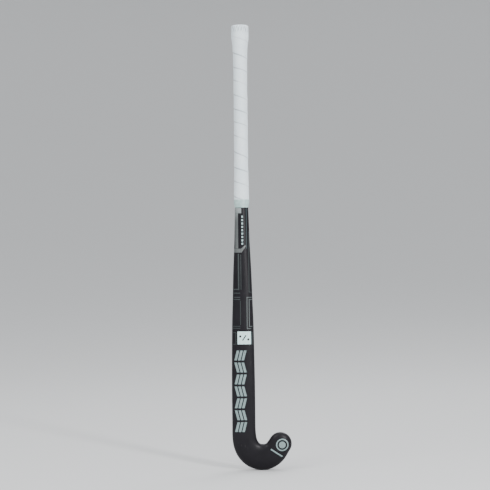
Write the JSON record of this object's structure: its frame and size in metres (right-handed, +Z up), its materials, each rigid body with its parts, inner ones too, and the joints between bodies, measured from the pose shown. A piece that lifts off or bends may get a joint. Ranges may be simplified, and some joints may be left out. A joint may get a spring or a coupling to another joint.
{
  "type": "field hockey stick",
  "caption": "Right-handed composite field hockey stick with a hooked head, flat playing face, rounded printed back and a wound hand grip with a flared knob.",
  "frame": {"origin": "middle of the bounding box's bottom, just below the lowest point of the hook", "axes": "+Z up the handle, along the line from the heel to the butt; +X towards the toe; the flat playing face looks along +Y and the rounded, printed back along -Y"},
  "size_m": [0.1238, 0.0523, 0.927],
  "materials": {
    "laminate": "satin",
    "aramid": "matte",
    "core_foam": "matte",
    "plug_plastic": "satin",
    "collar_foam": "matte",
    "base_tape": "matte",
    "grip_tape": "matte",
    "finishing_tape": "satin",
    "silver_ink": "satin",
    "teal_ink": "satin",
    "mint_ink": "satin",
    "grey_ink": "satin",
    "dark_ink": "satin"
  },
  "bodies": {
    "root": {"carbon_skin": "laminate", "aramid_liner": "aramid", "centre_web": "laminate", "head_core": "core_foam", "handle_foam_heel_side": "core_foam", "handle_foam_toe_side": "core_foam", "butt_plug": "plug_plastic", "knob_collar": "collar_foam", "base_tape": "base_tape", "grip_wrap": "grip_tape", "finishing_tape": "finishing_tape", "flank_panel": "silver_ink", "window_outline": "teal_ink", "window_marks": "mint_ink", "upper_frame_left": "grey_ink", "upper_frame_right": "grey_ink", "lower_frame_left": "grey_ink", "lower_frame_right": "grey_ink", "badge_brackets": "grey_ink", "square_badge": "mint_ink", "square_badge_marks": "dark_ink", "shaft_motifs": "silver_ink", "toe_badge": "silver_ink", "toe_bar": "silver_ink"}
  },
  "joints": []
}
